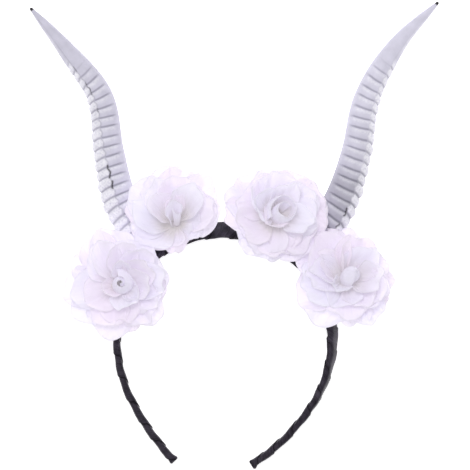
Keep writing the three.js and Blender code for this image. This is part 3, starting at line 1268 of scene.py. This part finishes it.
@dataclass(frozen=True)
class Rose:
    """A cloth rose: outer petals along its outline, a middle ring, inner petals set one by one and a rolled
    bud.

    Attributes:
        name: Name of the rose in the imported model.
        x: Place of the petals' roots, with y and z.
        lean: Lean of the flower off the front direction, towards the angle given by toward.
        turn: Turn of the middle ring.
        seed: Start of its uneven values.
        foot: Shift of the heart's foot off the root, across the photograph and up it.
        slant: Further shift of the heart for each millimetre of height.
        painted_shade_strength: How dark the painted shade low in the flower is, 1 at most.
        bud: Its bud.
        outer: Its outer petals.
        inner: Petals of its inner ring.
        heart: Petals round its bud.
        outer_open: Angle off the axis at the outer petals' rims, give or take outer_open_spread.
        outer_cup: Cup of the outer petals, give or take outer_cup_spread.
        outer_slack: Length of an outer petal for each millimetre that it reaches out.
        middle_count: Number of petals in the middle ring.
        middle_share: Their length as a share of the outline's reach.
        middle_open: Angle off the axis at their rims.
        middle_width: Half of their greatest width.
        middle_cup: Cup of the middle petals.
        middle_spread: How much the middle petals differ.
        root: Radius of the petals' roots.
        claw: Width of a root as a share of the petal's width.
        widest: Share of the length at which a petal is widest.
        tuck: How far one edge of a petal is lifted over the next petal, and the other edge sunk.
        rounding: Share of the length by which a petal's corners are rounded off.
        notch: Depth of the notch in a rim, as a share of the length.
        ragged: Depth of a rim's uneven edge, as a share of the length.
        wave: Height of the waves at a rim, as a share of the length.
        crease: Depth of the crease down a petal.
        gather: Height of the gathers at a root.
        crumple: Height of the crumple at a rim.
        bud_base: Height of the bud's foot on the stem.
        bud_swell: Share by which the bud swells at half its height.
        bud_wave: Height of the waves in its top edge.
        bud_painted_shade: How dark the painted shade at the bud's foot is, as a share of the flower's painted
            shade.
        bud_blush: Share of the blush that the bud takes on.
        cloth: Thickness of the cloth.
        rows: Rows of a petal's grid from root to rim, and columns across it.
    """

    name: str
    x: float
    y: float
    z: float
    lean: float
    toward: float
    turn: float
    seed: int
    foot: tuple[float, float]
    slant: tuple[float, float]
    painted_shade_strength: float
    bud: Bud
    outer: tuple[Lobe, ...]
    inner: tuple[Petal, ...]
    heart: tuple[Petal, ...]
    outer_open: float = 80.0
    outer_open_spread: float = 5.0
    outer_cup: float = 16.0
    outer_cup_spread: float = 8.0
    outer_slack: float = 1.03
    middle_count: int = 6
    middle_share: float = 0.82
    middle_open: float = 58.0
    middle_width: float = 14.0
    middle_cup: float = 32.0
    middle_spread: Spread = Spread()
    root: float = 2.4
    claw: float = 0.2
    widest: float = 0.78
    tuck: float = 1.3
    rounding: float = 0.34
    notch: float = 0.05
    ragged: float = 0.045
    wave: float = 0.05
    crease: float = 0.5
    gather: float = 0.4
    crumple: float = 0.4
    bud_base: float = 8.8
    bud_swell: float = 0.22
    bud_wave: float = 0.25
    bud_painted_shade: float = 0.6
    bud_blush: float = 0.2
    cloth: float = 0.28
    rows: int = 30
    columns: int = 36

    def place(self, local: Array) -> Array:
        """Sets the flower on the headband: leant over, then moved.

        Args:
            local: Points in the flower's own frame.

        Returns:
            Points in the headband's frame.
        """
        toward, lean = np.radians(self.toward), np.radians(self.lean)
        hinge = np.array([-np.sin(toward), np.cos(toward), 0.0])
        turned = local * np.cos(lean) + np.cross(hinge, local) * np.sin(lean)
        turned = turned + hinge * (local @ hinge)[..., None] * (1.0 - np.cos(lean))
        return turned + np.array([self.x, self.y, self.z])

    def slanted(self, x: Array, y: Array, height: Array, share: float) -> Array:
        """Points of the heart, shifted to its foot and slanted with height.

        Args:
            x: Across the flower, with y up it.
            y: Up the flower.
            height: Height on the stem.
            share: Share of the shift to take on.

        Returns:
            Points in the flower's own frame.
        """
        above = np.maximum(height - RING_SHAPES[Ring.HEART].rise, 0.0)
        moved_x = x + share * (self.foot[0] + self.slant[0] * above)
        moved_y = y + share * (self.foot[1] + self.slant[1] * above)
        return np.stack([moved_x, moved_y, height], axis=-1)

    def outer_ring(self, rng: np.random.Generator) -> tuple[Petal, ...]:
        """Petals that lie out flat and end on the rose's outline.

        Args:
            rng: Source of small differences.

        Returns:
            The ring's petals.
        """
        petals = []
        for lobe in self.outer:
            opener, cupped = rng.uniform(-1.0, 1.0, 2)
            petals.append(
                Petal(
                    azimuth=lobe.azimuth,
                    tip_open=self.outer_open + self.outer_open_spread * opener,
                    length=(lobe.reach - self.root) * self.outer_slack,
                    half_width=lobe.half_width,
                    cup=self.outer_cup + self.outer_cup_spread * cupped,
                )
            )
        return tuple(petals)

    def middle_ring(self, rng: np.random.Generator) -> tuple[Petal, ...]:
        """An even ring of petals, each a little different in place, length, width and opening.

        Args:
            rng: Source of the differences.

        Returns:
            The ring's petals.
        """
        petals = []
        outline = column(self.outer, "azimuth"), column(self.outer, "reach")
        spread = self.middle_spread
        for index in range(self.middle_count):
            shift, longer, wider, opener, cupped = rng.uniform(-1.0, 1.0, 5)
            azimuth = self.turn + 360.0 / self.middle_count * (index + spread.place * shift)
            reach = np.interp(azimuth, *outline, period=360.0)
            petals.append(
                Petal(
                    azimuth=azimuth,
                    tip_open=self.middle_open + spread.opening * opener,
                    length=self.middle_share * reach * (1.0 + spread.length * longer),
                    half_width=self.middle_width * (1.0 + spread.width * wider),
                    cup=self.middle_cup * (1.0 + spread.cup * cupped),
                )
            )
        return tuple(petals)

    def surfaces(self, petals: tuple[Petal, ...], shape: RingShape, rng: np.random.Generator) -> Grid:
        """The petals of one ring.

        Along a petal its angle off the flower's axis changes evenly from root to rim, so its middle line is
        an arc. Across, it is an arc too, whose edges turn in by the petal's cup. Its width grows from a
        narrow claw as a quarter sine wave. Added along its normal are a tuck that lays one edge over the
        next petal, a roll at the rim, waves and ruffles that grow towards the rim, a crease down the middle,
        gathers at the root and a slight crumple. The rim is rounded and uneven, with a shallow notch.

        Args:
            petals: The ring's petals.
            shape: What they share.
            rng: Source of the waves' places.

        Returns:
            The petals, one patch each, in the headband's frame.
        """

        def vary(low: float, high: float) -> Array:
            """A random value for each petal."""
            return rng.uniform(low, high, (len(petals), 1, 1))

        def of(name: str) -> Array:
            """A field of the petals, one value for each."""
            return column(petals, name)[:, None, None]

        u = np.linspace(-1.0, 1.0, self.columns)[None, None, :]
        v = np.linspace(0.0, 1.0, self.rows)[None, :, None]
        rise = shape.rise + shape.step * (np.arange(len(petals)) % 2)[:, None, None]
        opening = np.radians(shape.root_open)
        bend = np.radians(of("tip_open")) - opening
        ragged = self.ragged * np.sin(vary(2.5, 5.0) * u + vary(0.0, FULL_TURN)) + vary(-0.06, 0.06) * u
        rim = 1.0 - self.rounding * np.abs(u) ** 2.6 - self.notch * (1.0 - u * u) ** 4 + ragged
        angle = opening + bend * v * rim
        out = of("length") * (np.cos(opening) - np.cos(angle)) / bend
        up = of("length") * (np.sin(angle) - np.sin(opening)) / bend
        spread = self.claw + (1.0 - self.claw) * np.sin(np.pi / 2 * np.minimum(1.0, v / self.widest))
        half = of("half_width") * spread
        cup = np.radians(of("cup"))
        aside = half * np.sin(cup * u) / cup
        lifted = half * (1.0 - np.cos(cup * u)) / cup
        tuck = self.tuck * u * np.minimum(1.0, 0.15 + 2.1 * v)
        roll = shape.roll * v**6 * (1.0 + 0.8 * np.sin(2.0 * u + vary(0.0, FULL_TURN)))
        waves = self.wave * of("length") * v**2 * np.sin(vary(1.2, 2.2) * np.pi * u + vary(0.0, FULL_TURN))
        ruffles = shape.ruffle * vary(0.3, 1.2) * v**3
        ruffles = ruffles * np.sin(vary(7.0, 11.0) * u + vary(0.0, FULL_TURN) + 2.0 * v)
        crease = -self.crease * bell(u - vary(-0.2, 0.2), 0.12) * np.sin(np.pi * v) ** 2
        gathers = self.gather * (1.0 - v) * np.minimum(1.0, 5.0 * v)
        gathers = gathers * np.sin(17.0 * u + vary(0.0, FULL_TURN))
        crumple = np.sin(7.0 * u + 5.0 * v + vary(0.0, FULL_TURN))
        crumple = crumple * np.sin(9.0 * v - 3.0 * u + vary(0.0, FULL_TURN))
        inward = lifted + tuck - roll + waves + ruffles + crease + gathers + self.crumple * v * crumple
        reach = self.root + out - inward * np.cos(angle)
        height = rise + up + inward * np.sin(angle)
        around = np.radians(of("azimuth"))
        x = reach * np.cos(around) - aside * np.sin(around)
        y = reach * np.sin(around) + aside * np.cos(around)
        local = self.slanted(x, y, height, shape.slanted)
        uv = np.stack(np.broadcast_arrays(u * of("half_width"), v * of("length")), axis=-1) * MM
        # Painted shade low in the flower, fading up the petal.
        deep = self.painted_shade_strength * (1.0 - smooth(0.1, shape.painted_shade, v)) * np.ones_like(height)
        blush = np.broadcast_to(vary(0.0, 1.0), height.shape)
        return Grid(self.place(local), uv, {"deep": deep, "blush": blush})

    def bud_surface(self) -> Grid:
        """The bud: a strip on a spiral, its radius growing evenly, swelling and closing in over its height.

        Returns:
            The bud as one patch, in the headband's frame.
        """
        bud = self.bud
        u = np.linspace(0.0, 1.0, 4 * self.rows)[:, None]
        v = np.linspace(0.0, 1.0, self.rows)[None, :]
        angle = 2 * np.pi * bud.turns * u + np.radians(bud.start)
        swell = 1.0 + self.bud_swell * np.sin(np.pi * v) - bud.closing * smooth(0.35, 1.05, v) ** 1.5
        edge = 1.0 - bud.droop * (np.abs(np.sin(1.5 * angle)) + u)
        radius = (bud.inner + (bud.outer - bud.inner) * u) * swell + bud.flare * v**6 * u
        radius = radius + self.bud_wave * np.sin(3.0 * angle + 4.0 * v) * v * u
        height = np.broadcast_to(self.bud_base + bud.height * v * edge, radius.shape)
        local = self.slanted(radius * np.cos(angle), radius * np.sin(angle), height, 1.0)[None]
        run = 2 * np.pi * bud.turns * (bud.inner + (bud.outer - bud.inner) * u / 2) * u
        uv = np.stack(np.broadcast_arrays(run, v * bud.height), axis=-1)[None] * MM
        # Painted shade at the bud's foot.
        deep = self.bud_painted_shade * self.painted_shade_strength * (1.0 - smooth(0.1, 0.8, v)) * np.ones_like(radius)
        blush = np.full_like(radius, self.bud_blush)
        return Grid(self.place(local), uv, {"deep": deep[None], "blush": blush[None]})

    def build(self, finishes: Finishes) -> list[bpy.types.Object]:
        """Makes the rose's rings and bud.

        Args:
            finishes: The headband's materials.

        Returns:
            The rose's new objects.
        """
        rng = np.random.default_rng(self.seed)
        rings = {
            Ring.OUTER: self.outer_ring(rng),
            Ring.MIDDLE: self.middle_ring(rng),
            Ring.INNER: self.inner,
            Ring.HEART: self.heart,
        }
        pieces = []
        for ring, petals in rings.items():
            node = f"rose_{self.name}_{ring.value}"
            grid = self.surfaces(petals, RING_SHAPES[ring], rng)
            piece = grid.to_object(f"{node}_cloth")
            wide = 2 * column(petals, "half_width").sum()
            long = column(petals, "length").max() + self.root
            self.dress(piece, finishes.petal, node, (wide, long), grid.area())
            pieces.append(piece)
        grid = self.bud_surface()
        piece = grid.to_object(f"rose_{self.name}_bud_roll")
        flat = (self.bud.height, grid.area() / self.bud.height)
        self.dress(piece, finishes.petal, f"rose_{self.name}_bud", flat, grid.area())
        return [*pieces, piece]

    def dress(
        self,
        piece: bpy.types.Object,
        cloth: bpy.types.Material,
        node: str,
        flat: tuple[float, float],
        area: float,
    ) -> None:
        """Thickens a cloth piece, dresses it, lets it stand for its CAD node and states how it was cut.

        Args:
            piece: The cloth's object.
            cloth: Its finish.
            node: CAD node that it stands for.
            flat: Width and length of the cloth that it is cut from, in millimetres.
            area: Area of the cut cloth, in square millimetres.
        """
        thicken(piece, self.cloth)
        settle(piece, cloth, node)
        log.info("%s cut from %.0f by %.0f mm, %.0f square mm", piece.name, *flat, area)


HORNS = (
    Horn(
        name="horn_left",
        axis=(
            AxisPoint(-49.4, -8.2, 8.7),
            AxisPoint(-65.8, 18.3, 8.4),
            AxisPoint(-73.0, 48.0, 7.5),
            AxisPoint(-78.2, 80.0, 5.9),
            AxisPoint(-98.0, 107.5, 4.9),
            AxisPoint(-118.6, 131.6, 4.2),
        ),
        outer=Side.LEFT,
        painted_light_tones=(Tone(0.0, 1.0), Tone(0.6, 1.0), Tone(1.0, 0.96)),
        slits=(
            Slit(0.255, 0.28, 1.0),
            Slit(0.293, 0.338, 1.0),
            Slit(0.535, 0.548, 0.5),
            Slit(0.61, 0.66, 0.6),
            Slit(0.715, 0.735, 0.5),
            Slit(0.93, 0.95, 0.5),
        ),
        seam_root=82.0,
        seam_tip=58.0,
        seam_depth=1.0,
        knob_stop=0.78,
    ),
    Horn(
        name="horn_right",
        axis=(
            AxisPoint(40.6, -10.9, 8.7),
            AxisPoint(60.0, 17.2, 8.4),
            AxisPoint(70.4, 48.2, 7.5),
            AxisPoint(76.2, 78.3, 5.9),
            AxisPoint(94.4, 110.6, 4.9),
            AxisPoint(117.8, 135.0, 4.2),
        ),
        outer=Side.RIGHT,
        painted_light_tones=(Tone(0.0, 0.68), Tone(0.28, 0.7), Tone(0.36, 0.98), Tone(0.55, 1.09), Tone(1.0, 1.1)),
        slits=(Slit(0.135, 0.15, 0.8), Slit(0.18, 0.205, 1.0)),
        seam_root=57.0,
        seam_tip=52.0,
        seam_depth=0.35,
        knob_stop=0.76,
    ),
)

ROSES = (
    Rose(
        name="upper_left",
        x=-36.0,
        y=14.0,
        z=21.8,
        lean=8.0,
        toward=-70.0,
        turn=12.0,
        seed=11,
        foot=(1.8, -6.5),
        slant=(-0.05, 0.7),
        painted_shade_strength=1.0,
        bud=Bud(1.2, 160.0, 1.0, 3.4, 17.6, -0.7, 0.8, 0.16),
        bud_base=6.2,
        outer=(
            Lobe(32.0, 28.7, 13.0),
            Lobe(75.0, 26.0, 13.0),
            Lobe(113.0, 26.0, 14.0),
            Lobe(155.0, 27.0, 14.0),
            Lobe(194.0, 26.7, 13.0),
            Lobe(234.0, 24.0, 13.0),
            Lobe(266.0, 22.6, 11.0),
            Lobe(299.0, 15.5, 8.0),
            Lobe(326.0, 20.5, 8.0),
            Lobe(352.0, 27.2, 13.0),
        ),
        inner=(
            Petal(172.0, 52.0, 25.0, 13.0, 35.0),
            Petal(212.0, 62.0, 23.0, 13.0, 25.0),
            Petal(258.0, 68.0, 15.0, 9.0, 25.0),
            Petal(296.0, 54.0, 9.0, 8.0, 35.0),
            Petal(334.0, 46.0, 13.0, 9.0, 45.0),
            Petal(12.0, 44.0, 22.0, 11.0, 45.0),
            Petal(84.0, 42.0, 23.0, 13.0, 45.0),
            Petal(128.0, 40.0, 24.0, 12.0, 45.0),
        ),
        heart=(
            Petal(96.0, -8.0, 15.0, 8.5, 80.0),
            Petal(46.0, 22.0, 21.0, 12.0, 78.0),
            Petal(152.0, 22.0, 19.5, 10.5, 65.0),
        ),
    ),
    Rose(
        name="upper_right",
        x=21.8,
        y=11.0,
        z=24.7,
        lean=12.0,
        toward=29.0,
        turn=26.0,
        seed=23,
        foot=(0.6, -1.0),
        slant=(0.18, 0.2),
        painted_shade_strength=0.9,
        bud=Bud(1.5, 30.0, 3.0, 8.2, 15.0, 0.06, 0.8, 0.1),
        outer=(
            Lobe(4.0, 32.0, 14.0),
            Lobe(27.0, 32.5, 12.0),
            Lobe(55.0, 29.5, 13.0),
            Lobe(92.0, 26.8, 13.0),
            Lobe(127.0, 29.5, 13.0),
            Lobe(155.0, 30.0, 12.0),
            Lobe(177.0, 29.0, 11.0),
            Lobe(214.0, 24.3, 13.0),
            Lobe(249.0, 27.4, 14.0),
            Lobe(280.0, 25.5, 12.0),
            Lobe(308.0, 30.0, 13.0),
            Lobe(340.0, 33.0, 13.0),
        ),
        inner=(
            Petal(198.0, 60.0, 24.0, 14.0, 30.0),
            Petal(244.0, 70.0, 22.0, 13.0, 22.0),
            Petal(296.0, 58.0, 18.0, 12.0, 30.0),
            Petal(350.0, 54.0, 22.0, 12.0, 40.0),
            Petal(38.0, 46.0, 23.0, 12.0, 45.0),
            Petal(84.0, 44.0, 23.0, 13.0, 50.0),
            Petal(130.0, 44.0, 23.0, 12.0, 50.0),
        ),
        heart=(
            Petal(212.0, -10.0, 17.5, 13.0, 95.0),
            Petal(332.0, 20.0, 20.5, 11.5, 70.0),
            Petal(160.0, 20.0, 21.0, 13.0, 75.0),
            Petal(82.0, 10.0, 19.0, 12.0, 75.0),
        ),
    ),
    Rose(
        name="lower_left",
        x=-67.2,
        y=-27.2,
        z=21.4,
        lean=10.0,
        toward=-140.0,
        turn=4.0,
        seed=37,
        foot=(2.4, -0.6),
        slant=(0.12, 0.2),
        painted_shade_strength=0.5,
        bud=Bud(1.6, 250.0, 0.8, 7.0, 12.5, 0.55, 0.3, 0.1),
        outer=(
            Lobe(18.0, 28.8, 15.0),
            Lobe(58.0, 28.5, 14.0),
            Lobe(98.0, 32.0, 14.0),
            Lobe(122.0, 32.0, 12.0),
            Lobe(155.0, 29.0, 12.0),
            Lobe(187.0, 32.5, 13.0),
            Lobe(222.0, 32.5, 13.0),
            Lobe(256.0, 33.0, 14.0),
            Lobe(286.0, 29.0, 10.0),
            Lobe(318.0, 32.0, 12.0),
            Lobe(350.0, 28.3, 12.0),
        ),
        inner=(
            Petal(118.0, 32.0, 28.0, 12.0, 70.0),
            Petal(84.0, 28.0, 26.5, 11.5, 65.0),
            Petal(48.0, 32.0, 25.5, 12.0, 60.0),
            Petal(10.0, 36.0, 26.0, 14.0, 55.0),
            Petal(334.0, 42.0, 24.0, 12.0, 50.0),
            Petal(206.0, 58.0, 22.0, 12.0, 30.0),
            Petal(266.0, 56.0, 22.0, 13.0, 35.0),
        ),
        heart=(
            Petal(205.0, -16.0, 17.5, 9.5, 90.0),
            Petal(85.0, -14.0, 18.5, 8.5, 88.0),
            Petal(325.0, -8.0, 18.0, 9.5, 85.0),
            Petal(352.0, 16.0, 20.5, 12.5, 78.0),
            Petal(24.0, 24.0, 23.0, 12.5, 65.0),
            Petal(286.0, 22.0, 18.0, 11.0, 60.0),
        ),
    ),
    Rose(
        name="lower_right",
        x=64.0,
        y=-24.6,
        z=17.3,
        lean=14.0,
        toward=37.0,
        turn=20.0,
        seed=41,
        foot=(-1.5, -2.0),
        slant=(0.2, 0.15),
        painted_shade_strength=0.7,
        bud=Bud(2.2, 200.0, 1.6, 4.8, 13.5, 0.86, 0.0, 0.01),
        outer=(
            Lobe(8.0, 27.0, 12.0),
            Lobe(40.0, 25.0, 13.0),
            Lobe(70.0, 25.5, 12.0),
            Lobe(97.0, 29.0, 12.0),
            Lobe(122.0, 33.0, 13.0),
            Lobe(150.0, 33.0, 13.0),
            Lobe(173.0, 30.0, 12.0),
            Lobe(204.0, 32.5, 13.0),
            Lobe(232.0, 33.2, 14.0),
            Lobe(283.0, 29.0, 10.0),
            Lobe(305.0, 31.5, 11.0),
            Lobe(325.0, 28.5, 11.0),
            Lobe(346.0, 28.3, 12.0),
        ),
        inner=(
            Petal(148.0, 30.0, 22.5, 10.0, 65.0),
            Petal(163.0, 38.0, 23.5, 10.0, 60.0),
            Petal(180.0, 46.0, 24.0, 11.0, 55.0),
            Petal(76.0, 42.0, 23.5, 14.0, 45.0),
            Petal(26.0, 46.0, 23.5, 12.0, 45.0),
            Petal(338.0, 44.0, 22.5, 12.0, 45.0),
            Petal(252.0, 36.0, 18.5, 12.0, 50.0),
            Petal(300.0, 34.0, 19.5, 12.0, 55.0),
        ),
        heart=(
            Petal(108.0, 14.0, 23.5, 6.5, 125.0),
            Petal(342.0, 16.0, 21.0, 13.5, 85.0),
            Petal(56.0, 28.0, 20.0, 12.0, 55.0),
            Petal(218.0, 16.0, 14.0, 8.0, 80.0),
            Petal(16.0, 8.0, 18.5, 6.5, 70.0),
        ),
    ),
)


@dataclass(frozen=True)
class Studio:
    """A white floor, soft light from above and a camera that looks straight down on the headband.

    Attributes:
        lens: Focal length of the camera.
        sensor: Width of its sensor.
        sight: How far it sees, in metres.
        focus_height: Height at which its view is as wide as the photograph.
        floor_size: Side of the floor.
        floor_drop: Depth of the floor under the headband.
        floor_tones: The two greys that the floor's paint is clouded with.
        floor_cloud: Scale of those clouds.
        floor_glow: Strength of the floor's own light.
        sky: Strength of the light from all round.
        key_power: Power of the lamp in watts.
        key_size: Width of the lamp in metres.
        key_place: Place of the lamp in metres.
        key_colour: Colour of its light.
    """

    lens: float = 400.0
    sensor: float = 36.0
    sight: float = 100.0
    focus_height: float = 8.0
    floor_size: float = 8000.0
    floor_drop: float = 0.3
    floor_tones: tuple[Colour, Colour] = ((0.93, 0.93, 0.93, 1.0), (0.95, 0.95, 0.95, 1.0))
    floor_cloud: float = 1.5
    floor_glow: float = 0.68
    sky: float = 0.56
    key_power: float = 11.6
    key_size: float = 0.55
    key_place: tuple[float, float, float] = (-0.2, 0.45, 1.8)
    key_colour: tuple[float, float, float] = (1.0, 0.985, 1.0)

    def build_camera(self) -> None:
        """Sets the camera over the middle of the photograph's frame, which it fills at the focus height."""
        data = bpy.data.cameras.new("camera")
        data.lens = self.lens
        data.sensor_width = self.sensor
        data.clip_end = self.sight
        camera = bpy.data.objects.new("camera", data)
        distance = PHOTO_SIDE * PIXEL * self.lens / self.sensor + self.focus_height
        camera.location = (0.0, 0.0, distance * MM)
        bpy.context.scene.collection.objects.link(camera)
        bpy.context.scene.camera = camera

    def build_floor(self) -> None:
        """Lays a pale floor just under the headband."""
        half = self.floor_size / 2
        side = np.array([-half, half])
        x, y = np.meshgrid(side, side)
        points = np.stack([x, y, np.full_like(x, -self.floor_drop)], axis=-1)[None]
        floor = Grid(points, points[..., :2] * MM).to_object("floor")
        material, board = new_material("floor paint")
        colour = board.blend(board.noise(board.place(), self.floor_cloud), *self.floor_tones)
        paint = board.add(
            "ShaderNodeBsdfPrincipled",
            {
                "Base Color": colour,
                "Roughness": 0.9,
                "Specular IOR Level": 0.0,
                "Emission Color": (1.0, 1.0, 1.0, 1.0),
                "Emission Strength": self.floor_glow,
            },
        )
        board.add("ShaderNodeOutputMaterial", {"Surface": paint.outputs[0]})
        floor.data.materials.append(material)

    def build_light(self) -> None:
        """Lights the scene with an even white sky and one large lamp beyond the horn tips."""
        world = bpy.data.worlds.new("white studio")
        world.use_nodes = True
        board = NodeBoard(world.node_tree)
        sky = board.add("ShaderNodeBackground", {"Color": (1.0, 1.0, 1.0, 1.0), "Strength": self.sky})
        board.add("ShaderNodeOutputWorld", {"Surface": sky.outputs[0]})
        bpy.context.scene.world = world
        data = bpy.data.lights.new("soft box", "AREA")
        data.shape = "DISK"
        data.size = self.key_size
        data.energy = self.key_power
        data.color = self.key_colour
        lamp = bpy.data.objects.new("soft box", data)
        lamp.location = self.key_place
        lamp.rotation_mode = "QUATERNION"
        lamp.rotation_quaternion = (-Vector(lamp.location)).to_track_quat("-Z", "Y")
        bpy.context.scene.collection.objects.link(lamp)
        bpy.context.scene.view_settings.view_transform = "Standard"


def dress_stems(frame: dict[str, Any], plastic: bpy.types.Material) -> None:
    """Gives the stems, whose CAD shape stays, their plastic.

    Args:
        frame: The loaded frame.
        plastic: Finish of the stems.
    """
    for name, node in frame["nodes"].items():
        if name.endswith("_stem"):
            node.data.materials.clear()
            node.data.materials.append(plastic)
            log.info("%s keeps its CAD shape", name)


def main() -> None:
    """Builds the studio, the hoop, the horns and the roses in order, and reports each piece."""
    logging.basicConfig(level=logging.INFO, format="%(name)s: %(message)s")
    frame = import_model()
    studio = Studio()
    studio.build_camera()
    studio.build_floor()
    studio.build_light()
    effects = Effects(weave_group(), tone_group())
    finishes = Finishes(
        petal=PetalCloth().build(effects),
        horn=HornPaint().build(effects),
        ribbon=SatinRibbon().build(effects),
        stem=StemPlastic().build(effects),
    )
    hoop = Hoop()
    core = hoop.build_core(finishes.ribbon)
    log.info("%s built", core.name)
    log.info("%s built", hoop.build_ribbon(finishes.ribbon).name)
    for horn in HORNS:
        log.info("%s built", horn.build(finishes.horn).name)
    for rose in ROSES:
        for piece in rose.build(finishes):
            log.info("%s built", piece.name)
    dress_stems(frame, finishes.stem)


if __name__ == "__main__":
    main()
